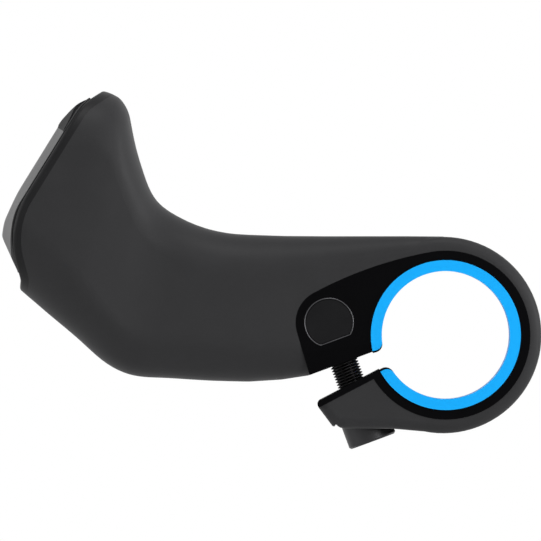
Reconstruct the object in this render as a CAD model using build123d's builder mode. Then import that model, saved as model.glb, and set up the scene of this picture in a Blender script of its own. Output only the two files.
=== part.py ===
from build123d import *
from math import atan2, cos, degrees, radians, sin, sqrt, tan
import os

os.makedirs("parts", exist_ok=True)

# Bicycle bar end, in millimetres. The origin is the centre of the handlebar, halfway across the
# clamp. The handlebar runs along Y, and the horn reaches towards -X and up. Side-view points are
# (x, z) pairs.

# Handlebar, liner and clamp ring
bar_diameter = 22.2
liner_thickness = 1.9
liner_end_radius = 1.45
liner_proud = 0.25
liner_upper_angle = 192.4
liner_lower_angle = 209.2
core_wall = 1.65
core_lip = 0.33
clamp_width = 18.0
fit_gap = 0.05

# Band of the grip round the clamp ring
band_radius = 17.05
band_offset = 0.45
band_inset = 0.05
band_edge = 1.8

# Clamp screw: M5 x 0.5, 20 mm under the head, with its washer
screw_diameter = 5.0
screw_length = 20.0
screw_tip = 0.5
head_diameter = 8.5
head_height = 5.0
head_edge = 0.3
socket_width = 4.0
socket_depth = 2.6
screw_room = 0.3
washer_diameter = 10.0
washer_thickness = 1.0
washer_edge = 0.15
counterbore_room = 0.4

# Barrel nut across the core, and the lean of the screw's axis through it
nut_x = -20.25
nut_z = 2.17
nut_diameter = 8.62
nut_flat = 3.31
nut_recess = 0.15
nut_edge = 0.3
thread_gap = 0.05
screw_lean = 20.3

# Distances along the screw's axis, from the nut's centre towards the head
gap_face = 7.38
ear_face = 11.25
washer_seat = 16.0
screw_end_room = 3.5

# Core: the lobe round the nut, the lower ear plate, its boss and the tongue inside the horn
lobe_wall = 1.5
shoulder_radius = 68.0
flank_lean = 16.4
ear_lean = 27.6
ear_reach = 7.0
ear_plate = 1.1
ear_plate_round = 0.9
boss_diameter = 8.8
bevel_start = 4.7
bevel_reach = 4.2
bevel_lean = 8.2
bevel_tilt = 15.0
bevel_inner = 6.0
tongue_width = 9.0
tongue_corner = 2.5
tongue_outline = [(-23.0, 7.2), (-40.0, 9.6), (-49.0, 13.5), (-56.0, 22.5), (-61.0, 18.5), (-54.0, 6.0),
                  (-42.0, 0.6), (-24.0, -1.6)]

# Grip cover under the lower ear plate, from the foot of its outer end to the band, and its notch
ear_outline = [(-19.65, -15.8), (-17.6, -16.2), (-9.2, -16.25), (-0.9, -16.97)]
ear_notch = [(-19.5, -16.1), (-19.05, -15.5), (-18.65, -15.85), (-17.9, -16.3)]

# Neck: top and bottom of each section in the side view, how far its sides stand in from the
# clamp's, and its roundness, from 0 for sharp corners to 1 for round sides
neck_sections = [
    ((5.0, 15.6), (5.0, -5.0), 0.1, 0.18),
    ((-0.5, 17.1), (-0.5, -5.5), 0.08, 0.26),
    ((-7.0, 17.15), (-7.0, -6.0), 0.03, 0.34),
    ((-14.0, 17.15), (-14.0, -6.3), 0.0, 0.48),
    ((-21.0, 17.15), (-22.0, -6.75), 0.0, 0.62),
    ((-28.0, 17.2), (-28.5, -7.75), 0.0, 0.73),
    ((-34.0, 17.4), (-34.0, -8.1), 0.0, 0.8),
]

# Horn: its top and bottom edges in the side view, point for point, then its width and roundness
# at the end, and where along it the flare starts and ends
horn_top = [(-34.0, 17.4), (-41.5, 18.5), (-46.5, 20.6), (-50.2, 23.4), (-52.4, 28.0), (-54.3, 35.0),
            (-56.4, 40.9), (-59.0, 42.25), (-66.0, 41.4)]
horn_bottom = [(-34.0, -8.1), (-42.5, -7.85), (-49.0, -7.45), (-54.5, -6.95), (-59.0, -4.85),
               (-63.5, -0.95), (-68.0, 2.85), (-72.4, 6.6), (-80.5, 13.5)]
horn_steps = 3
horn_width = 24.0
horn_roundness = 0.89
flare_start = 0.25
flare_end = 0.85

# End of the horn: the middle and the slope of its long flat, then the corners of its side-view
# line as (along the flat, out from it), with the radius of each bend
end_x = -67.85
end_z = 29.5
end_slope = 58.3
end_corners = [(24.0, -6.0), (11.2, 0.0), (-12.8, 0.0), (-19.2, -6.65), (-29.0, -11.3)]
end_bends = [8.0, 13.0, 3.0]

# Cap on the horn's end, the most that its front turns from the long flat, and a hollow spigot that
# plugs into the horn
cap_thickness = 1.45
cap_edge = 0.8
cap_front_turn = 60.0
spigot_length = 15.0
spigot_width = 12.0
spigot_depth = 6.0
spigot_wall = 1.8
spigot_corner = 4.0
spigot_shift = 1.0

# Faceted plate on the cap: its outline, the half width and height where its sloping sides end, then
# for each section its distance down the end line, its height and the half width of its flat top
plate_length = 35.2
plate_width = 21.4
plate_corner = 9.6
plate_shift = -3.3
plate_foot = 11.7
plate_shoulder = 0.25
plate_sections = [(10.9, 0.05, 3.5), (13.7, 0.75, 4.5), (15.4, 1.15, 5.0), (18.6, 1.7, 5.5),
                  (19.4, 1.6, 5.5), (32.6, 1.6, 5.5), (37.1, 1.95, 5.3), (39.7, 1.95, 5.0),
                  (41.6, 1.0, 5.2), (46.8, 0.05, 5.0)]
inlay_start = 5.8
inlay_ledge = 0.4
pin_diameter = 3.0
pin_spacing = 8.0
pin_length = 4.0

# Worked out from the sizes above
half_width = clamp_width / 2
bar_radius = bar_diameter / 2
liner_radius = bar_radius + liner_thickness
core_radius = liner_radius + core_wall
lobe_radius = nut_diameter / 2 + lobe_wall
band_face = half_width - band_inset
head_seat = washer_seat + washer_thickness
lean_sin = sin(radians(screw_lean))
lean_cos = cos(radians(screw_lean))
slope_sin = sin(radians(end_slope))
slope_cos = cos(radians(end_slope))
nut_distance = sqrt(nut_x ** 2 + nut_z ** 2)
reach = -horn_bottom[-1][0]


def on_screw(along, across=0.0):
    """Side-view point: along the screw's axis from the nut, and across it towards the bore."""
    return (nut_x + along * lean_sin + across * lean_cos, nut_z - along * lean_cos + across * lean_sin)


def screw_plane(along):
    """Plane across the screw's axis, facing the head."""
    x, z = on_screw(along)
    return Plane(origin=(x, 0, z), x_dir=(lean_cos, 0, lean_sin), z_dir=(lean_sin, 0, -lean_cos))


def on_ear(along, down=0.0):
    """Side-view point from where the screw leaves the lower ear: along its face, and below it."""
    x, z = on_screw(ear_face)
    lean = radians(ear_lean)
    return (x + along * cos(lean) + down * sin(lean), z + along * sin(lean) - down * cos(lean))


def on_end(along, out=0.0):
    """Side-view point on the horn's end: up along its long flat, and out from it."""
    return (end_x + along * slope_cos - out * slope_sin, end_z + along * slope_sin + out * slope_cos)


def end_plane(along, out):
    """Plane parallel to the long flat of the horn's end, facing out."""
    x, z = on_end(along, out)
    return Plane(origin=(x, 0, z), x_dir=(slope_cos, 0, slope_sin), z_dir=(-slope_sin, 0, slope_cos))


def liner_sketch(longer=0.0):
    """Side view of the liner's C, rounded inside at its ends, with each end made longer."""
    turn = degrees(longer / liner_radius)
    arms = [(2 * liner_radius * cos(radians(angle)), 2 * liner_radius * sin(radians(angle)))
            for angle in (liner_upper_angle + turn, liner_lower_angle - turn)]
    with BuildSketch() as outline:
        Circle(liner_radius)
        Circle(bar_radius, mode=Mode.SUBTRACT)
        Polygon((0, 0), *arms, align=None, mode=Mode.SUBTRACT)
        fillet(outline.vertices().sort_by_distance((0, 0))[:2], liner_end_radius)
    return outline.sketch


def lobe_sketch():
    """Side view of the core's lobe: the arc down from the ring, the round, and the flank."""
    to_ring = shoulder_radius - core_radius
    to_lobe = shoulder_radius - lobe_radius
    along = (to_ring ** 2 - to_lobe ** 2 + nut_distance ** 2) / (2 * nut_distance)
    down = sqrt(to_ring ** 2 - along ** 2)
    centre_x = (along * nut_x - down * nut_z) / nut_distance
    centre_z = (along * nut_z + down * nut_x) / nut_distance
    ring_end = (-core_radius * centre_x / to_ring, -core_radius * centre_z / to_ring)
    shoulder_turn = degrees(atan2(nut_z - centre_z, nut_x - centre_x))
    shoulder_start = degrees(atan2(-centre_z, -centre_x))
    with BuildSketch() as outline:
        with BuildLine():
            shoulder = CenterArc((centre_x, centre_z), shoulder_radius, shoulder_start,
                                 shoulder_turn - shoulder_start)
            lobe = CenterArc((nut_x, nut_z), lobe_radius, shoulder_turn, 180 + flank_lean - shoulder_turn)
            flank = PolarLine(lobe @ 1, (gap_face + ear_face) / 2, flank_lean - 90)
            Polyline(flank @ 1, (0, 0), shoulder @ 0)
        make_face()
    return outline.sketch


def gap_sketch():
    """Side view of the open wedge between the two gap faces, from inside the bore outwards."""
    inside = nut_distance - bar_radius
    with BuildSketch() as outline:
        Polygon(on_screw(gap_face, inside), on_screw(gap_face, -reach), on_ear(-reach), on_ear(inside),
                align=None)
    return outline.sketch


def ear_plate_sketch():
    """Side view of the core's lower ear plate, with its rounded outer end."""
    far = core_radius / 2
    with BuildSketch() as outline:
        Polygon(on_ear(-ear_reach), on_ear(far), on_ear(far, ear_plate), on_ear(-ear_reach, ear_plate),
                align=None)
        fillet(outline.vertices().sort_by(Axis.X)[0], ear_plate_round)
    return outline.sketch


def core_sketch():
    """Side view of the core without its tongue, with the bore filled."""
    with BuildSketch() as outline:
        Circle(core_radius)
        add(lobe_sketch())
        add(gap_sketch(), mode=Mode.SUBTRACT)
        add(ear_plate_sketch())
    return outline.sketch


def tongue_sketch():
    """Side view of the core's tongue inside the horn, rounded away from the core."""
    with BuildSketch() as outline:
        Polygon(*tongue_outline, align=None)
        fillet(outline.vertices().sort_by(Axis.X)[:-2], tongue_corner)
    return outline.sketch


def end_sketch(grow=0.0):
    """Side view of everything behind the horn's end line, moved out by a distance."""
    with BuildSketch() as outline:
        with BuildLine():
            line = FilletPolyline(*[on_end(*corner) for corner in end_corners], radius=end_bends)
            Polyline(line @ 0, (reach, reach), (reach, -reach), line @ 1)
        make_face()
        if grow:
            offset(amount=grow)
    return outline.sketch


def grip_section(top, bottom, width, roundness):
    """Rounded section of the grip, in the plane of its top and bottom edges."""
    height = sqrt((top[0] - bottom[0]) ** 2 + (top[1] - bottom[1]) ** 2)
    up_x = (top[0] - bottom[0]) / height
    up_z = (top[1] - bottom[1]) / height
    middle = ((top[0] + bottom[0]) / 2, 0, (top[1] + bottom[1]) / 2)
    with BuildSketch(Plane(origin=middle, x_dir=(up_x, 0, up_z), z_dir=(-up_z, 0, up_x))) as section:
        RectangleRounded(height, width, roundness * width / 2)
    return section.sketch.face()


def horn_faces():
    """Sections along the horn: a few in each stretch of its edges, widening smoothly."""
    with BuildLine() as edges:
        top_edge = Spline(*horn_top)
        bottom_edge = Spline(*horn_bottom)
    neck_roundness = neck_sections[-1][3]
    stretches = len(horn_top) - 1
    top_marks = [top_edge.param_at_point(Vector(*point)) for point in horn_top]
    bottom_marks = [bottom_edge.param_at_point(Vector(*point)) for point in horn_bottom]
    faces = []
    for step in range(stretches * horn_steps + 1):
        stretch = min(step // horn_steps, stretches - 1)
        inside = step / horn_steps - stretch
        top = top_edge @ (top_marks[stretch] * (1 - inside) + top_marks[stretch + 1] * inside)
        bottom = bottom_edge @ (bottom_marks[stretch] * (1 - inside) + bottom_marks[stretch + 1] * inside)
        share = step / (stretches * horn_steps)
        flare = min(max((share - flare_start) / (flare_end - flare_start), 0), 1)
        width = clamp_width + (horn_width - clamp_width) * flare ** 2 * (3 - 2 * flare)
        roundness = neck_roundness + (horn_roundness - neck_roundness) * share
        faces.append(grip_section((top.X, top.Y), (bottom.X, bottom.Y), width, roundness))
    return faces


def plate_faces():
    """Sections of the faceted plate, each across the horn's end line."""
    with BuildLine() as end_path:
        FilletPolyline(*[on_end(*corner) for corner in end_corners], radius=end_bends)
    line = end_path.wire()
    faces = []
    for distance, height, half_top in plate_sections:
        point = line.position_at(distance, position_mode=PositionMode.LENGTH)
        along = line.tangent_at(distance, position_mode=PositionMode.LENGTH)
        across = Plane(origin=(point.X, 0, point.Y), x_dir=(0, 1, 0), z_dir=(-along.X, 0, -along.Y))
        with BuildSketch(across) as section:
            Polygon((-plate_foot, 0), (-plate_foot, cap_thickness + plate_shoulder),
                    (-half_top, cap_thickness + height), (half_top, cap_thickness + height),
                    (plate_foot, cap_thickness + plate_shoulder), (plate_foot, 0), align=None)
        faces.append(section.sketch.face())
    return faces


# Liner between the handlebar and the core
with BuildPart() as clamp_liner:
    with BuildSketch(Plane.XZ):
        add(liner_sketch())
    extrude(amount=half_width + liner_proud, both=True)
clamp_liner.part.label = "clamp_liner"

# Core: ring with a lip over each end of the liner, lobe, lower ear with its boss, and tongue. The
# liner lies against the ring, and the nut is a push fit.
with BuildPart() as clamp_core:
    with BuildSketch(Plane.XZ):
        add(core_sketch())
        Circle(liner_radius, mode=Mode.SUBTRACT)
        add(liner_sketch(core_lip))
        add(liner_sketch(), mode=Mode.SUBTRACT)
    extrude(amount=half_width, both=True)
    with BuildSketch(Plane.XZ):
        add(tongue_sketch())
    extrude(amount=tongue_width / 2, both=True)
    with BuildSketch(screw_plane(washer_seat)):
        Circle(boss_diameter / 2)
    extrude(amount=ear_face + ear_plate / 2 - washer_seat)
    with BuildSketch(Plane.XZ):
        with Locations((nut_x, nut_z)):
            Circle(nut_diameter / 2)
        Polygon(on_screw(nut_flat, -reach), on_screw(nut_flat, reach), on_screw(reach, reach),
                on_screw(reach, -reach), align=None, mode=Mode.SUBTRACT)
    extrude(amount=half_width, both=True, mode=Mode.SUBTRACT)
    with BuildSketch(screw_plane(-nut_diameter / 2 - screw_end_room)):
        Circle(screw_diameter / 2 + screw_room)
    extrude(amount=reach, mode=Mode.SUBTRACT)
    bevel_x, bevel_z = on_screw(bevel_start)
    bevel_cos = cos(radians(bevel_lean))
    bevel_sin = sin(radians(bevel_lean))
    bevel_depth = bevel_reach * tan(radians(bevel_tilt))
    with BuildSketch(Plane(origin=(bevel_x + bevel_inner * bevel_cos, 0, bevel_z + bevel_inner * bevel_sin),
                           x_dir=(0, 1, 0), z_dir=(bevel_cos, 0, bevel_sin))):
        for side in (1, -1):
            Polygon((side * half_width, 0), (side * (half_width - bevel_depth), -bevel_reach),
                    (side * half_width, -bevel_reach), align=None)
    extrude(amount=-reach, mode=Mode.SUBTRACT)
clamp_core.part.label = "clamp_core"

# Horn before its end is cut
with BuildPart() as horn_blank:
    loft(horn_faces())

# Grip: horn and neck, with the band and the ear cover, moulded round the core
with BuildPart() as grip_shell:
    with BuildSketch(Plane.XZ):
        Polygon((0, 0), on_ear(-ear_reach / 2), on_ear(-ear_reach, ear_plate), *ear_outline, align=None)
    extrude(amount=band_face, both=True)
    rims = grip_shell.faces().filter_by(Axis.Y).edges().sort_by(Axis.Z)
    fillet(rims[:2 * len(ear_outline)], band_edge)
    with BuildSketch(Plane.XZ):
        Polygon(*ear_notch, align=None)
    extrude(amount=band_face, both=True, mode=Mode.SUBTRACT)
    with BuildSketch(Plane.XY) as band_profile:
        with Locations((-band_offset, 0)):
            Rectangle(band_radius, 2 * band_face, align=(Align.MIN, Align.CENTER))
        fillet(band_profile.vertices().group_by(Axis.X)[-1], band_edge)
    revolve(axis=Axis((-band_offset, 0, 0), (0, 1, 0)))
    loft([grip_section(top, bottom, clamp_width - 2 * inset, roundness)
          for top, bottom, inset, roundness in neck_sections], ruled=True)
    add(horn_blank.part)
    with BuildSketch(Plane.XZ):
        add(core_sketch())
        add(gap_sketch())
    extrude(amount=clamp_width, both=True, mode=Mode.SUBTRACT)
    with BuildSketch(Plane.XZ):
        add(end_sketch())
    extrude(amount=reach, both=True, mode=Mode.INTERSECT)
    with BuildSketch(Plane.XZ):
        add(tongue_sketch())
    extrude(amount=tongue_width / 2, both=True, mode=Mode.SUBTRACT)
    with BuildSketch(screw_plane(-nut_diameter / 2 - screw_end_room)):
        Circle(screw_diameter / 2 + screw_room)
    extrude(amount=nut_diameter, mode=Mode.SUBTRACT)
    with BuildSketch(screw_plane(ear_face)):
        Circle(boss_diameter / 2)
    extrude(amount=washer_seat - ear_face, mode=Mode.SUBTRACT)
    with BuildSketch(screw_plane(washer_seat)):
        Circle(washer_diameter / 2 + counterbore_room)
    extrude(amount=reach, mode=Mode.SUBTRACT)
    with BuildSketch(end_plane(spigot_shift, 0)):
        RectangleRounded(spigot_length + 2 * fit_gap, spigot_width + 2 * fit_gap, spigot_corner)
    extrude(amount=-spigot_depth - 2 * fit_gap, mode=Mode.SUBTRACT)
grip_shell.part.label = "grip_shell"

# Cap on the horn's end, flush with the horn, with its spigot
with BuildPart() as end_cap:
    add(horn_blank.part)
    with BuildSketch(Plane.XZ):
        add(end_sketch(cap_thickness))
        add(end_sketch(), mode=Mode.SUBTRACT)
    extrude(amount=reach, both=True, mode=Mode.INTERSECT)
    outward = Vector(-slope_sin, 0, slope_cos)
    sides = end_cap.faces().filter_by(GeomType.BSPLINE)
    fronts = [face for face in end_cap.faces() - sides
              if face.normal_at().dot(outward) > cos(radians(cap_front_turn))]
    side_edges = sides.edges()
    fillet([edge for face in fronts for edge in face.edges() if edge in side_edges], cap_edge)
    with BuildSketch(end_plane(spigot_shift, 0)):
        RectangleRounded(spigot_length, spigot_width, spigot_corner)
        offset(amount=-spigot_wall, mode=Mode.SUBTRACT)
    extrude(amount=-spigot_depth)
    with BuildSketch(end_plane(spigot_shift, 0)):
        with GridLocations(pin_spacing, 0, 2, 1):
            Circle(pin_diameter / 2 + fit_gap)
    extrude(amount=cap_thickness, mode=Mode.SUBTRACT)
end_cap.part.label = "end_cap"

# Plate on the cap, with its pins, and the dark inlay at its top
with BuildPart() as plate_blank:
    loft(plate_faces(), ruled=True)
    with BuildSketch(end_plane(plate_shift, 0)):
        RectangleRounded(plate_length, plate_width, plate_corner)
    extrude(amount=reach, both=True, mode=Mode.INTERSECT)
    with BuildSketch(Plane.XZ):
        add(end_sketch(cap_thickness))
    extrude(amount=reach, both=True, mode=Mode.SUBTRACT)

with BuildPart() as end_plate:
    add(plate_blank.part)
    with BuildSketch(Plane.XZ):
        Polygon(on_end(inlay_start - fit_gap, -reach), on_end(inlay_start - fit_gap, reach),
                on_end(reach, reach), on_end(reach, -reach), align=None)
        add(end_sketch(cap_thickness + inlay_ledge - fit_gap), mode=Mode.SUBTRACT)
    extrude(amount=reach, both=True, mode=Mode.SUBTRACT)
    with BuildSketch(end_plane(spigot_shift, cap_thickness)):
        with GridLocations(pin_spacing, 0, 2, 1):
            Circle(pin_diameter / 2)
    extrude(amount=-pin_length)
end_plate.part.label = "end_plate"

with BuildPart() as end_inlay:
    add(plate_blank.part)
    with BuildSketch(Plane.XZ):
        Polygon(on_end(inlay_start, -reach), on_end(inlay_start, reach), on_end(reach, reach),
                on_end(reach, -reach), align=None)
        add(end_sketch(cap_thickness + inlay_ledge), mode=Mode.SUBTRACT)
    extrude(amount=reach, both=True, mode=Mode.INTERSECT)
end_inlay.part.label = "end_inlay"

# Barrel nut, a cylinder with one flat and a cross hole for the screw
with BuildPart() as barrel_nut:
    with BuildSketch(Plane.XZ):
        with Locations((nut_x, nut_z)):
            Circle(nut_diameter / 2)
        Polygon(on_screw(nut_flat, -reach), on_screw(nut_flat, reach), on_screw(reach, reach),
                on_screw(reach, -reach), align=None, mode=Mode.SUBTRACT)
    extrude(amount=half_width - nut_recess, both=True)
    chamfer(barrel_nut.faces().filter_by(Axis.Y).edges(), nut_edge)
    with BuildSketch(screw_plane(-nut_diameter)):
        Circle(screw_diameter / 2 + thread_gap)
    extrude(amount=2 * nut_diameter, mode=Mode.SUBTRACT)
barrel_nut.part.label = "barrel_nut"

# Screw with its hexagon socket
with BuildPart() as clamp_bolt:
    with BuildSketch(screw_plane(head_seat - screw_length)):
        Circle(screw_diameter / 2)
    extrude(amount=screw_length)
    chamfer(clamp_bolt.edges().sort_by(Axis.Z)[-1], screw_tip)
    with BuildSketch(screw_plane(head_seat)):
        Circle(head_diameter / 2)
    extrude(amount=head_height)
    chamfer(clamp_bolt.edges().sort_by(Axis.Z)[0], head_edge)
    with BuildSketch(screw_plane(head_seat + head_height)):
        RegularPolygon(socket_width / 2, 6, major_radius=False)
    extrude(amount=-socket_depth, mode=Mode.SUBTRACT)
clamp_bolt.part.label = "clamp_bolt"

# Washer under the screw's head
with BuildPart() as bolt_washer:
    with BuildSketch(screw_plane(washer_seat)):
        Circle(washer_diameter / 2)
        Circle(screw_diameter / 2 + screw_room, mode=Mode.SUBTRACT)
    extrude(amount=washer_thickness)
    chamfer(bolt_washer.edges().filter_by(GeomType.CIRCLE).sort_by(SortBy.RADIUS)[-2:], washer_edge)
bolt_washer.part.label = "bolt_washer"

for piece in (clamp_liner, clamp_core, grip_shell, end_cap, end_plate, end_inlay, barrel_nut, clamp_bolt,
              bolt_washer):
    export_step(piece.part, f"parts/{piece.part.label}.step")
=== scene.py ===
"""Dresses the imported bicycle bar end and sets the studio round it.

All lengths are metres in the model's own frame: the handlebar runs along Y, +Z is up and the horn
reaches towards -X.
"""

import logging
import math
from dataclasses import dataclass, field
from enum import Enum

import bpy
import numpy as np
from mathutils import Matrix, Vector


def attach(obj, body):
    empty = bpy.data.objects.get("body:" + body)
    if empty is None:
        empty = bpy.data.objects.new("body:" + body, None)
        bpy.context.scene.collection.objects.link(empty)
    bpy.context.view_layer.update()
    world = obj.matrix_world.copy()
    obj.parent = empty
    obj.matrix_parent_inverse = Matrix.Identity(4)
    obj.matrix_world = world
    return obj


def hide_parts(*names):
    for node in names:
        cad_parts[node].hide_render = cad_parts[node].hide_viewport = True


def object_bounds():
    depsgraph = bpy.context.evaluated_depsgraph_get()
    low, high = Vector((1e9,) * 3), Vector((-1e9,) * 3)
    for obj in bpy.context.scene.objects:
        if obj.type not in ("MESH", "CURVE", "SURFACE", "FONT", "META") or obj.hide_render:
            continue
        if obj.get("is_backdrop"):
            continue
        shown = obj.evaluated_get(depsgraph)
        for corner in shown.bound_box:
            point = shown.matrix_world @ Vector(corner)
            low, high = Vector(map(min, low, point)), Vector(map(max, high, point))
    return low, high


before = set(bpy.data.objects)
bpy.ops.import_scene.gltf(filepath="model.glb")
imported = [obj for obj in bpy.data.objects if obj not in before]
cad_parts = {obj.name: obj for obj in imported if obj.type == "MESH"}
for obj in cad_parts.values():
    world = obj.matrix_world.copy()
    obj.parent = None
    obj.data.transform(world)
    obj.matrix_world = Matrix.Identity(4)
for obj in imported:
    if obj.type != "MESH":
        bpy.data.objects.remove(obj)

log = logging.getLogger("bar_end")
MM = 0.001
ALONG_BAR = np.array([0.0, 1.0, 0.0])
# A ring wave texture repeats every 0.314 units at a scale of 1.
RING_SCALE = 0.314


class RingAxis(Enum):
    """The local axis that a turned finish has its rings round."""

    PIECE = "Y"
    SCREW = "Z"


def linear(byte: float) -> float:
    """Turns an sRGB value from 0 to 255 into linear light.

    Args:
        byte: the sRGB value.

    Returns:
        The linear value from 0 to 1.
    """
    share = byte / 255
    return share / 12.92 if share <= 0.04045 else ((share + 0.055) / 1.055) ** 2.4


class NodeSheet:
    """The node tree of one material, with short ways to add and join its nodes."""

    def __init__(self, name: str) -> None:
        """Makes an empty material.

        Args:
            name: the material's name.
        """
        self.material = bpy.data.materials.new(name)
        self.material.use_nodes = True
        self.tree = self.material.node_tree
        self.tree.nodes.clear()
        self.output = self.add("ShaderNodeOutputMaterial")

    def add(self, kind: str, **values: object) -> bpy.types.Node:
        """Adds a node.

        Args:
            kind: the node's type.
            values: its properties, or its inputs by name with underscores for spaces.

        Returns:
            The new node.
        """
        node = self.tree.nodes.new(kind)
        for key, value in values.items():
            if hasattr(node, key):
                setattr(node, key, value)
            else:
                node.inputs[key.replace("_", " ")].default_value = value
        return node

    def join(self, source: bpy.types.NodeSocket, target: bpy.types.NodeSocket) -> None:
        """Links two sockets."""
        self.tree.links.new(source, target)

    def place(self, offset: tuple[float, float, float] = (0, 0, 0),
              turn: tuple[float, float, float] = (0, 0, 0)) -> bpy.types.NodeSocket:
        """Adds the object's coordinates, moved to a centre and turned.

        Args:
            offset: the pattern's centre on the piece.
            turn: rotation about X, Y and Z in radians, after the move.

        Returns:
            The vector socket to read.
        """
        coordinates = self.add("ShaderNodeTexCoord")
        mapping = self.add("ShaderNodeMapping", vector_type="TEXTURE")
        mapping.inputs["Location"].default_value = offset
        mapping.inputs["Rotation"].default_value = turn
        self.join(coordinates.outputs["Object"], mapping.inputs["Vector"])
        return mapping.outputs["Vector"]

    def noise(self, vector: bpy.types.NodeSocket, size: float, detail: float = 2.0,
              roughness: float = 0.5) -> bpy.types.NodeSocket:
        """Adds a noise whose cells are about a given size.

        Args:
            vector: the coordinates.
            size: the cells' size in metres.
            detail: the noise's octaves.
            roughness: how strong the finer octaves are.

        Returns:
            The noise's value socket.
        """
        noise = self.add("ShaderNodeTexNoise", Scale=1 / size, Detail=detail, Roughness=roughness)
        self.join(vector, noise.inputs["Vector"])
        return noise.outputs["Fac"]

    def remap(self, value: bpy.types.NodeSocket, low: float, high: float,
              start: float = 0.3, end: float = 0.7) -> bpy.types.NodeSocket:
        """Stretches the part of a value from start to end to the range from low to high.

        Args:
            value: the value's socket.
            low: the result at the start.
            high: the result at the end.
            start: where the part starts.
            end: where the part ends.

        Returns:
            The result's socket.
        """
        node = self.add("ShaderNodeMapRange", From_Min=start, From_Max=end, To_Min=low, To_Max=high)
        self.join(value, node.inputs["Value"])
        return node.outputs["Result"]

    def maths(self, operation: str, first: bpy.types.NodeSocket,
              second: bpy.types.NodeSocket | float) -> bpy.types.NodeSocket:
        """Adds a maths node with two inputs.

        Args:
            operation: the node's operation.
            first: the first input's socket.
            second: the second input, a socket or a number.

        Returns:
            The result's socket.
        """
        node = self.add("ShaderNodeMath", operation=operation)
        self.join(first, node.inputs[0])
        if isinstance(second, bpy.types.NodeSocket):
            self.join(second, node.inputs[1])
        else:
            node.inputs[1].default_value = second
        return node.outputs["Value"]

    def shaded(self, colour: tuple[float, float, float], share: bpy.types.NodeSocket
               ) -> bpy.types.NodeSocket:
        """Scales a colour by a share that varies over the surface.

        Args:
            colour: the linear colour.
            share: a socket near 1.

        Returns:
            The colour socket.
        """
        node = self.add("ShaderNodeVectorMath", operation="SCALE")
        node.inputs[0].default_value = colour
        self.join(share, node.inputs["Scale"])
        return node.outputs["Vector"]

    def surface(self, colour: bpy.types.NodeSocket, roughness: bpy.types.NodeSocket,
                height: bpy.types.NodeSocket, depth: float, **values: float) -> None:
        """Joins a colour, roughness and height to the shader.

        Args:
            colour: the base colour.
            roughness: the roughness.
            height: the relief, from 0 to 1.
            depth: the relief's depth in metres.
            values: the shader's own constant inputs.
        """
        shader = self.add("ShaderNodeBsdfPrincipled", **values)
        bump = self.add("ShaderNodeBump", Strength=1.0, Distance=depth)
        self.join(height, bump.inputs["Height"])
        self.join(colour, shader.inputs["Base Color"])
        self.join(roughness, shader.inputs["Roughness"])
        self.join(bump.outputs["Normal"], shader.inputs["Normal"])
        self.join(shader.outputs["BSDF"], self.output.inputs["Surface"])


@dataclass(frozen=True)
class Moulded:
    """A moulded finish: fine grain, soft blotches and a slightly uneven gloss."""

    name: str
    srgb: tuple[float, float, float]
    roughness: float
    gloss: float
    grain: float = 0.16 * MM
    depth: float = 0.004 * MM
    blotch: float = 7 * MM
    variation: float = 0.06
    unevenness: float = 0.03

    def material(self) -> bpy.types.Material:
        """Builds the material.

        Returns:
            The finished material.
        """
        sheet = NodeSheet(self.name)
        vector = sheet.place()
        fine = sheet.noise(vector, self.grain, detail=3.0, roughness=0.6)
        broad = sheet.noise(vector, self.blotch, detail=2.0)
        speck = sheet.remap(fine, 1 - self.variation, 1 + self.variation)
        soft = sheet.remap(broad, 1 - self.variation / 2, 1 + self.variation / 2)
        colour = sheet.shaded(tuple(linear(c) for c in self.srgb), sheet.maths("MULTIPLY", speck, soft))
        rough = sheet.remap(broad, self.roughness - self.unevenness, self.roughness + self.unevenness)
        sheet.surface(colour, rough, fine, self.depth, Specular_IOR_Level=self.gloss)
        return sheet.material


@dataclass(frozen=True)
class Turned:
    """A turned steel finish: fine rings round an axis, with worn specks."""

    name: str
    srgb: tuple[float, float, float]
    roughness: float
    centre: tuple[float, float, float]
    lean: float = 0.0
    direction: RingAxis = RingAxis.SCREW
    ring: float = 0.18 * MM
    depth: float = 0.001 * MM
    speck: float = 0.12 * MM
    blotch: float = 2.5 * MM
    variation: float = 0.05
    unevenness: float = 0.06

    def material(self) -> bpy.types.Material:
        """Builds the material, with its rings round the axis named by direction.

        Returns:
            The finished material.
        """
        sheet = NodeSheet(self.name)
        vector = sheet.place(self.centre, (0, -self.lean, 0))
        rings = sheet.add("ShaderNodeTexWave", wave_type="RINGS", rings_direction=self.direction.value,
                          Scale=RING_SCALE / self.ring, Distortion=0.6, Detail=2.0, Detail_Scale=1.0)
        sheet.join(vector, rings.inputs["Vector"])
        fine = sheet.noise(vector, self.speck, detail=3.0)
        broad = sheet.noise(vector, self.blotch)
        low, high = 1 - self.variation, 1 + self.variation
        share = sheet.maths("MULTIPLY", sheet.remap(rings.outputs["Fac"], low, high, 0, 1),
                            sheet.remap(broad, low, high))
        colour = sheet.shaded(tuple(linear(c) for c in self.srgb), share)
        rough = sheet.remap(fine, self.roughness - self.unevenness, self.roughness + self.unevenness)
        height = sheet.maths("ADD", rings.outputs["Fac"], fine)
        sheet.surface(colour, rough, height, self.depth, Metallic=1.0)
        return sheet.material


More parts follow.
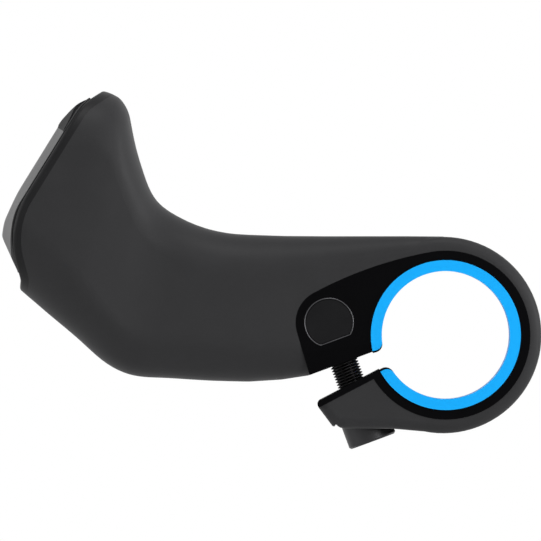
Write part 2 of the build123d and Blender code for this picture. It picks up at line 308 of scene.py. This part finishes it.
def grid_mesh(name: str, points: np.ndarray, looped: bool = False) -> bpy.types.Object:
    """Makes a closed skin from rings of points.

    Each ring is joined to the next by quads. Then a fan joins each end ring to its own middle point,
    or, on a looped skin, quads join the last ring to the first.

    Args:
        name: the object's name.
        points: an array of rings x points x 3.
        looped: whether the last ring meets the first.

    Returns:
        The linked object.
    """
    rings, count = points.shape[:2]
    ring = np.arange(rings if looped else rings - 1)[:, None] * count
    following = (ring + count) % (rings * count)
    here = np.arange(count)[None, :]
    after = (here + 1) % count
    quads = np.stack([ring + here, ring + after, following + after, following + here], -1).reshape(-1, 4)
    vertices, faces = points.reshape(-1, 3), quads.tolist()
    if not looped:
        vertices = np.concatenate([vertices, [points[0].mean(0), points[-1].mean(0)]])
        here, after = here[0], after[0]
        middle = np.full(count, rings * count)
        last = (rings - 1) * count
        faces += np.stack([middle, after, here], -1).tolist()
        faces += np.stack([middle + 1, last + here, last + after], -1).tolist()
    mesh = bpy.data.meshes.new(name)
    mesh.from_pydata(vertices.tolist(), [], faces)
    mesh.polygons.foreach_set("use_smooth", np.full(len(mesh.polygons), True))
    mesh.validate()
    mesh.update()
    piece = bpy.data.objects.new(name, mesh)
    bpy.context.scene.collection.objects.link(piece)
    return piece


@dataclass
class ClampScrew:
    """The M5 clamp screw: a fine thread with a true helix, a cylinder head and a hexagon socket.

    Distances along the screw are from the nut's centre and grow towards the head. The socket is half
    the hexagon's width across its flats.
    """

    nut_centre: tuple[float, float, float] = (-20.25 * MM, 0.0, 2.17 * MM)
    lean: float = math.radians(20.3)
    major: float = 2.5 * MM
    pitch: float = 0.5 * MM
    thread_depth: float = 0.4 * MM
    flank_slope: float = 1.45
    crest_share: float = 0.35
    tip: float = -3.0 * MM
    tip_chamfer: float = 0.5 * MM
    seat: float = 17.0 * MM
    plain_length: float = 0.6 * MM
    head: float = 4.25 * MM
    head_length: float = 5.0 * MM
    head_edge: float = 0.3 * MM
    socket: float = 2.0 * MM
    socket_depth: float = 2.6 * MM
    socket_cone: float = 0.7 * MM
    crisp_angle: float = math.radians(28)
    points_round: int = 72
    rows_per_turn: int = 8

    def axis_frame(self) -> tuple[np.ndarray, np.ndarray, np.ndarray]:
        """Works out the screw's own directions from its lean.

        Returns:
            The direction along the screw towards its head, and the two across it.
        """
        along = np.array([math.sin(self.lean), 0, -math.cos(self.lean)])
        across = np.array([math.cos(self.lean), 0, math.sin(self.lean)])
        return along, across, np.cross(along, across)

    def thread(self, angle: np.ndarray) -> tuple[np.ndarray, np.ndarray]:
        """Works out the threaded shank.

        The radius is the major radius less the thread's depth times a triangle wave of the distance
        along the screw in pitches, less the turn: a point one turn on is one pitch on. The wave is
        steepened and cut off, for a flat crest. At the head the depth fades out, and at the tip the
        outside is chamfered.

        Args:
            angle: the turn of each point of a ring.

        Returns:
            Distance along and radius, as rings x points.
        """
        length = self.seat - self.tip
        rows = int(length / self.pitch * self.rows_per_turn) + 1
        along = np.linspace(self.tip, self.seat, rows)[:, None] + 0 * angle
        turns = along / self.pitch - angle / (2 * np.pi)
        wave = 2 * np.abs(turns - np.round(turns))
        wave = np.clip(self.flank_slope * wave - self.crest_share, 0, 1)
        fade = np.clip((self.seat - along) / self.plain_length, 0, 1)
        radius = self.major - self.thread_depth * wave * fade
        start = np.clip((along - self.tip) / self.tip_chamfer, 0, 1)
        return along, np.minimum(radius, self.major - self.tip_chamfer * (1 - start))

    def outline(self, angle: np.ndarray) -> tuple[np.ndarray, np.ndarray]:
        """Works out the head: its seat, its chamfered rim, and the hexagon socket with its cone.

        A hexagon's radius at a turn is its inner radius over the cosine of the angle from the middle
        of the nearest side. The steps run from the seat over the rim and down the socket to the cone,
        and the multiples of the edge and the hexagon soften both rims.

        Args:
            angle: the turn of each point of a ring.

        Returns:
            Distance along and radius, as rings x points.
        """
        sixth = np.pi / 3
        hexagon = self.socket / np.cos((angle + sixth / 2) % sixth - sixth / 2)
        top = self.seat + self.head_length
        edge = self.head_edge
        floor = top - self.socket_depth
        steps = [(self.seat, self.head - edge / 2), (self.seat + edge / 2, self.head),
                 (top - 2 * edge, self.head), (top - edge, self.head), (top, self.head - edge),
                 (top, self.head - 1.6 * edge), (top, 1.25 * hexagon), (top, 1.12 * hexagon),
                 (top - 0.5 * edge, hexagon), (top - edge, hexagon), (floor, hexagon),
                 (floor - 0.05 * MM, 0.97 * hexagon), (floor - self.socket_cone, 0.3 * hexagon)]
        along = np.array([step[0] for step in steps])[:, None] + 0 * angle
        radius = np.concatenate([step[1] + 0 * angle for step in steps])
        return along, radius

    def build(self) -> bpy.types.Object:
        """Builds the screw from its shank and head, one ring after another.

        Returns:
            The screw, riding on its body in place of the plain node.
        """
        angle = np.linspace(0, 2 * np.pi, self.points_round, endpoint=False)[None, :]
        shank, head = self.thread(angle), self.outline(angle)
        distance = np.concatenate([shank[0], head[0]])[..., None]
        radius = np.concatenate([shank[1], head[1]])[..., None]
        along, across, side = self.axis_frame()
        turn = angle[..., None]
        points = (np.array(self.nut_centre) + distance * along
                  + radius * (np.cos(turn) * across + np.sin(turn) * side))
        piece = grid_mesh("threaded_screw", points)
        edges = piece.modifiers.new("crisp edges", "EDGE_SPLIT")
        edges.split_angle = self.crisp_angle
        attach(piece, "screw")
        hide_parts("clamp_bolt")
        return piece


@dataclass
class NutRims:
    """A thin bead round each end of the barrel nut, in a steel lighter than the nut's: painted highlight of
    the nut's chamfered edge against the core.
    """

    screw: ClampScrew
    radius: float = 4.31 * MM
    flat: float = 3.31 * MM
    bead: float = 0.1 * MM
    face: float = 8.93 * MM
    least_cosine: float = 0.1
    points_round: int = 180
    points_bead: int = 10

    def build(self) -> list[bpy.types.Object]:
        """Builds both beads.

        A bead's middle line is the nut's outline, drawn in by the bead's radius: the lesser of the
        circle's radius and the flat's distance over the cosine of the angle from the screw's axis.
        The cosine is kept over a small value, where the circle is the lesser. The bead's section is
        a circle about that line.

        Returns:
            The beads, riding with the nut.
        """
        along, across, _ = self.screw.axis_frame()
        turn = np.linspace(-np.pi, np.pi, self.points_round, endpoint=False)[:, None, None]
        section = np.linspace(0, 2 * np.pi, self.points_bead, endpoint=False)[None, :, None]
        towards = np.cos(turn)
        flat = (self.flat - self.bead) / np.maximum(towards, self.least_cosine)
        line = np.minimum(self.radius - self.bead, flat)
        reach = line + self.bead * np.cos(section)
        pieces = []
        for name, side in (("front_nut_rim", -1), ("back_nut_rim", 1)):
            depth = side * self.face + self.bead * np.sin(section)
            points = (np.array(self.screw.nut_centre) + reach * (towards * along + np.sin(turn) * across)
                      + depth * ALONG_BAR)
            piece = grid_mesh(name, points, looped=True)
            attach(piece, "bar_end")
            pieces.append(piece)
        return pieces


def bend(distance: np.ndarray, reach: float) -> np.ndarray:
    """Works out a slope of 1 that sets in softly at zero.

    It is nought up to -reach, the distance itself past reach, and a parabola in between.

    Args:
        distance: how far past the bend's middle.
        reach: half the bend's length.

    Returns:
        The rise.
    """
    return np.where(distance > reach, distance, np.clip(distance + reach, 0, None) ** 2 / (4 * reach))


def falling(u: np.ndarray, level: float, upper: tuple[tuple[float, float, float], ...],
            lower: tuple[tuple[float, float, float], ...]) -> np.ndarray:
    """Works out a side-view line: a level less each bend's slope.

    Args:
        u: distance up the line.
        level: the level of its middle.
        upper: the middle, slope and half length of each bend up the line.
        lower: the same for each bend down it.

    Returns:
        The line's height.
    """
    line = level + 0 * u
    for middle, slope, reach in upper:
        line = line - slope * bend(u - middle, reach)
    for middle, slope, reach in lower:
        line = line - slope * bend(-u - middle, reach)
    return line


@dataclass
class EndPlate:
    """The faceted plate on the horn's end, and the dark facet let into its top.

    Its directions are u, up the long flat of the horn's end, y across it, and n out from it. A bend
    is its middle, its slope and half its length. Upper bends lie up the flat, and lower ones down it.
    The cap and the top are heights over the flat. The plate's sides rise from the foot by the lean
    and meet the top in a soft crease. Its edge stands over a groove, and its base sinks into the cap.
    """

    middle: tuple[float, float] = (-67.85 * MM, 29.5 * MM)
    slope: float = math.radians(58.3)
    low: float = -19.2 * MM
    high: float = 13.1 * MM
    outline_middle: float = -3.3 * MM
    outline_straight: float = 8.0 * MM
    half_width: float = 10.7 * MM
    corner: float = 9.6 * MM
    cap: float = 1.45 * MM
    top: float = 3.0 * MM
    foot: float = 11.7 * MM
    lean: float = 0.25
    crease: float = 0.1 * MM
    groove: float = 0.12 * MM
    groove_depth: float = 0.4 * MM
    inner_share: float = 0.3
    thinnest: float = 0.05 * MM
    sink: float = 0.1 * MM
    facet_start: float = 5.8 * MM
    facet_rise: float = 0.5 * MM
    facet_inset: float = 0.03 * MM
    facet_edge: float = 0.02 * MM
    ledge: float = 0.3 * MM
    proud: float = 0.12 * MM
    crisp_angle: float = math.radians(24)
    row: float = 0.25 * MM
    points_across: int = 49
    cap_upper_bends: tuple[tuple[float, float, float], ...] = ((11.52 * MM, 0.469, 1.97 * MM),)
    cap_lower_bends: tuple[tuple[float, float, float], ...] = (
        (13.42 * MM, 1.039, 4.8 * MM), (20.06 * MM, -0.5645, 1.5 * MM))
    upper_bends: tuple[tuple[float, float, float], ...] = (
        (7.2 * MM, 0.2, 0.6 * MM), (10.0 * MM, 0.15, 1.0 * MM), (11.8 * MM, 0.5, 1.2 * MM))
    lower_bends: tuple[tuple[float, float, float], ...] = (
        (7.5 * MM, 0.12, 1.5 * MM), (13.0 * MM, 0.3, 1.0 * MM), (15.4 * MM, 1.1, 0.45 * MM))

    def width(self, u: np.ndarray) -> np.ndarray:
        """Gives half the plate's width: straight sides, then quarter circles at its four corners."""
        past = np.clip(np.abs(u - self.outline_middle) - self.outline_straight, 0, self.corner)
        return self.half_width - self.corner + np.sqrt(self.corner ** 2 - past ** 2)

    def bed(self, u: np.ndarray) -> np.ndarray:
        """Gives the cap's surface: a level that falls off in soft bends at both ends."""
        return falling(u, self.cap, self.cap_upper_bends, self.cap_lower_bends)

    def crest(self, u: np.ndarray, y: np.ndarray) -> np.ndarray:
        """Works out the plate's outside.

        It is the lower of the side-view line, a level less each bend's slope, and the two sides that
        rise from the foot to the middle by the lean. A soft minimum rounds the crease between them,
        and the outside stays over the cap.

        Args:
            u: distance up the flat.
            y: distance across.

        Returns:
            The distance out from the flat.
        """
        line = falling(u, self.top, self.upper_bends, self.lower_bends)
        side = self.bed(u) + self.lean * (self.foot - np.abs(y))
        lower = (line + side - np.sqrt((line - side) ** 2 + self.crease ** 2)) / 2
        return np.maximum(lower, self.bed(u) + self.groove + self.thinnest)

    def skin(self, name: str, u: np.ndarray, outside: np.ndarray, under: np.ndarray, base: np.ndarray,
             width: np.ndarray) -> bpy.types.Object:
        """Makes a closed skin from sections across the plate.

        Each section runs over the outside from side to side, then under its edge, in by the groove's
        depth, down to the base and back across.

        Args:
            name: the piece's name.
            u: each section's distance up the flat, as a column.
            outside: distance out for each point of the outside, as sections x points.
            under: distance out of the edge's underside.
            base: distance out of the base.
            width: half the width of each section.

        Returns:
            The linked piece.
        """
        inner = np.maximum(width - self.groove_depth, self.inner_share * width)
        across = np.concatenate([width * np.linspace(1, -1, self.points_across)[None, :],
                                 -width, -inner, -inner, inner, inner, width], 1)
        out = np.concatenate([outside, under, under, base, base, under, under], 1)
        up = np.array([math.cos(self.slope), 0, math.sin(self.slope)])
        outward = np.array([-math.sin(self.slope), 0, math.cos(self.slope)])
        points = (np.array([self.middle[0], 0, self.middle[1]]) + u[..., None] * up
                  + out[..., None] * outward + across[..., None] * ALONG_BAR)
        piece = grid_mesh(name, points)
        edges = piece.modifiers.new("crisp edges", "EDGE_SPLIT")
        edges.split_angle = self.crisp_angle
        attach(piece, "bar_end")
        return piece

    def build_plate(self) -> bpy.types.Object:
        """Builds the light plate, whose top end is a low ledge under the dark facet.

        Returns:
            The plate, in place of the plain node.
        """
        before = np.linspace(self.low, self.facet_start, int((self.facet_start - self.low) / self.row))
        after = np.linspace(self.facet_start, self.high, int((self.high - self.facet_start) / self.row))
        u = np.concatenate([before, after])[:, None]
        width = self.width(u)
        outside = self.crest(u, width * np.linspace(1, -1, self.points_across)[None, :])
        bed = self.bed(u)
        outside[len(before):] = np.minimum(outside, bed + self.ledge)[len(before):]
        piece = self.skin("faceted_plate", u, outside, bed + self.groove, bed - self.sink, width)
        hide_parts("end_plate")
        return piece

    def build_facet(self) -> bpy.types.Object:
        """Builds the dark facet, a little proud of the plate.

        Returns:
            The facet, in place of the plain node.
        """
        u = np.linspace(self.facet_start, self.high, int((self.high - self.facet_start) / self.row))[:, None]
        width = self.width(u) - self.facet_inset
        rise = np.clip((u - self.facet_start) / self.facet_rise, 0, 1)
        outside = self.crest(u, width * np.linspace(1, -1, self.points_across)[None, :])
        outside = outside + self.proud * rise
        bed = self.bed(u) + self.ledge
        under = bed + self.facet_edge
        outside = np.maximum(outside, bed + 2 * self.facet_edge)
        piece = self.skin("dark_facet", u, outside, under, bed - self.sink, width)
        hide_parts("end_inlay")
        return piece


@dataclass
class BarEnd:
    """The bar end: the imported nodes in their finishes, the threaded screw, the nut's beads and the plate."""

    screw: ClampScrew = field(default_factory=ClampScrew)
    end: EndPlate = field(default_factory=EndPlate)
    grip: Moulded = Moulded("grip rubber", (46, 46, 47), 0.46, 0.05, grain=0.14 * MM, depth=0.006 * MM)
    core: Moulded = Moulded("core nylon", (5, 5, 6), 0.42, 0.02, grain=0.1 * MM, depth=0.003 * MM)
    liner: Moulded = Moulded("liner nylon", (14, 156, 229), 0.4, 0.1, grain=0.2 * MM, depth=0.002 * MM,
                             variation=0.03)
    cap: Moulded = Moulded("cap black", (26, 26, 27), 0.45, 0.08, grain=0.3 * MM, depth=0.001 * MM)
    plate: Moulded = Moulded("plate satin grey", (50, 50, 51), 0.35, 0.28, grain=0.12 * MM, depth=0.002 * MM)
    inlay: Moulded = Moulded("inlay dark", (20, 20, 21), 0.45, 0.05, grain=0.2 * MM, depth=0.001 * MM)

    def finishes(self) -> dict[str, Moulded | Turned]:
        """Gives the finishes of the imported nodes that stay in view.

        Returns:
            Each node's finish, by the node's name.
        """
        nut = Turned("nut steel", (29, 29, 30), 0.38, self.screw.nut_centre, direction=RingAxis.PIECE)
        washer = Turned("washer steel", (70, 70, 72), 0.35, self.screw.nut_centre, self.screw.lean)
        return {"grip_shell": self.grip, "clamp_core": self.core, "clamp_liner": self.liner,
                "end_cap": self.cap, "barrel_nut": nut, "bolt_washer": washer}

    def build(self) -> None:
        """Builds the new pieces and dresses them all."""
        steel = Turned("screw steel", (50, 50, 51), 0.44, self.screw.nut_centre, self.screw.lean)
        # A lighter copy of the nut's steel for the beads: painted highlight on the nut's chamfered edge.
        rim = Turned("painted highlight steel", (75, 75, 77), 0.34, self.screw.nut_centre, direction=RingAxis.PIECE)
        front_rim, back_rim = NutRims(self.screw).build()
        for piece, finish in ((self.screw.build(), steel), (front_rim, rim), (back_rim, rim),
                              (self.end.build_plate(), self.plate), (self.end.build_facet(), self.inlay)):
            piece.data.materials.append(finish.material())
            log.info("%s: %d faces", piece.name, len(piece.data.polygons))
        for name, finish in self.finishes().items():
            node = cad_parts[name]
            node.data.materials.clear()
            node.data.materials.append(finish.material())
            log.info("%s wears %s", name, finish.name)


@dataclass
class Lamp:
    """A soft rectangular lamp that faces the object."""

    name: str
    azimuth: float
    elevation: float
    size: tuple[float, float]
    radiance: float
    distance: float = 0.6

    def build(self, centre: np.ndarray) -> None:
        """Adds the lamp, facing a point.

        Its power is its radiance times pi times its area, so that the level doesn't change with size.

        Args:
            centre: the point that it faces.
        """
        azimuth, elevation = math.radians(self.azimuth), math.radians(self.elevation)
        back = np.array([math.sin(azimuth) * math.cos(elevation), -math.cos(azimuth) * math.cos(elevation),
                         math.sin(elevation)])
        data = bpy.data.lights.new(self.name, "AREA")
        data.shape = "RECTANGLE"
        data.size, data.size_y = self.size
        data.energy = self.radiance * math.pi * self.size[0] * self.size[1]
        lamp = bpy.data.objects.new(self.name, data)
        bpy.context.scene.collection.objects.link(lamp)
        lamp.location = centre + back * self.distance
        lamp.rotation_mode = "QUATERNION"
        lamp.rotation_quaternion = Vector(back).to_track_quat("Z", "Y")


@dataclass
class Studio:
    """The floor, the lights, the white surroundings and the long-lens camera."""

    centre: tuple[float, float, float] = (-30.4 * MM, 0.0, 11.2 * MM)
    frame_width: float = 94.0 * MM
    distance: float = 4.0
    ambient: float = 0.32
    floor_drop: float = 70 * MM
    floor_reach: float = 3.0
    floor_white: float = 0.86
    floor_glow: float = 1.2
    sensor: float = 36.0
    lamps: tuple[Lamp, ...] = (
        Lamp("overhead softbox", 12, 72, (0.25, 0.25), 10.0),
        Lamp("front softbox", 34, 12, (0.2, 0.3), 7.0),
        Lamp("right softbox", 82, 10, (0.3, 0.3), 9.5),
        Lamp("left softbox", -85, 10, (0.3, 0.3), 6.2),
    )

    def camera(self) -> None:
        """Adds the camera at the photograph's angle, far off behind a long lens."""
        data = bpy.data.cameras.new("camera")
        data.sensor_width = self.sensor
        data.lens = self.sensor * self.distance / self.frame_width
        data.clip_end = 100.0
        camera = bpy.data.objects.new("camera", data)
        bpy.context.scene.collection.objects.link(camera)
        camera.location = (self.centre[0], -self.distance, self.centre[2])
        camera.rotation_euler = (math.pi / 2, 0, 0)
        bpy.context.scene.camera = camera

    def world(self) -> None:
        """Makes the surroundings white to the eye and in reflections, and softer as light."""
        world = bpy.data.worlds.new("studio")
        world.use_nodes = True
        tree = world.node_tree
        tree.nodes.clear()
        path = tree.nodes.new("ShaderNodeLightPath")
        seen = path.outputs["Is Camera Ray"]
        for name in ("Is Glossy Ray", "Is Transmission Ray"):
            either = tree.nodes.new("ShaderNodeMath")
            either.operation = "MAXIMUM"
            tree.links.new(seen, either.inputs[0])
            tree.links.new(path.outputs[name], either.inputs[1])
            seen = either.outputs[0]
        level = tree.nodes.new("ShaderNodeMapRange")
        level.inputs["To Min"].default_value = self.ambient
        level.inputs["To Max"].default_value = 1.0
        tree.links.new(seen, level.inputs["Value"])
        background = tree.nodes.new("ShaderNodeBackground")
        background.inputs["Color"].default_value = (1, 1, 1, 1)
        tree.links.new(level.outputs["Result"], background.inputs["Strength"])
        output = tree.nodes.new("ShaderNodeOutputWorld")
        tree.links.new(background.outputs["Background"], output.inputs["Surface"])
        bpy.context.scene.world = world

    def floor(self) -> None:
        """Lays a wide pale floor under the object, near white to the eye but for the shadow.

        To the eye and in reflections it is half paper and half glow. From below it is clear.
        """
        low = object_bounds()[0].z - self.floor_drop
        half = self.floor_reach
        mesh = bpy.data.meshes.new("floor")
        corners = [(-half, -half, low), (half, -half, low), (half, half, low), (-half, half, low)]
        mesh.from_pydata(corners, [], [(0, 1, 2, 3)])
        floor = bpy.data.objects.new("floor", mesh)
        bpy.context.scene.collection.objects.link(floor)
        sheet = NodeSheet("floor paper")
        vector = sheet.place()
        fibre = sheet.noise(vector, 0.8 * MM, detail=4.0)
        white = sheet.shaded((self.floor_white,) * 3, sheet.remap(fibre, 0.99, 1.01))
        diffuse = sheet.add("ShaderNodeBsdfDiffuse")
        sheet.join(white, diffuse.inputs["Color"])
        glow = sheet.add("ShaderNodeEmission", Strength=self.floor_glow)
        path = sheet.add("ShaderNodeLightPath")
        lit = sheet.add("ShaderNodeMixShader")
        either = sheet.maths("MAXIMUM", path.outputs["Is Camera Ray"], path.outputs["Is Glossy Ray"])
        sheet.join(sheet.maths("MULTIPLY", either, 0.5), lit.inputs["Fac"])
        sheet.join(diffuse.outputs["BSDF"], lit.inputs[1])
        sheet.join(glow.outputs["Emission"], lit.inputs[2])
        geometry = sheet.add("ShaderNodeNewGeometry")
        clear = sheet.add("ShaderNodeBsdfTransparent")
        both = sheet.add("ShaderNodeMixShader")
        sheet.join(geometry.outputs["Backfacing"], both.inputs["Fac"])
        sheet.join(lit.outputs["Shader"], both.inputs[1])
        sheet.join(clear.outputs["BSDF"], both.inputs[2])
        sheet.join(both.outputs["Shader"], sheet.output.inputs["Surface"])
        floor.data.materials.append(sheet.material)
        floor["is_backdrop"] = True

    def build(self) -> None:
        """Sets up the whole studio."""
        self.floor()
        self.world()
        self.camera()
        for lamp in self.lamps:
            lamp.build(np.array(self.centre))
        bpy.context.scene.view_settings.view_transform = "Standard"


def main() -> None:
    """Builds the bar end and its studio."""
    logging.basicConfig(level=logging.INFO, format="%(message)s")
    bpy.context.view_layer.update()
    BarEnd().build()
    Studio().build()


if __name__ == "__main__":
    main()
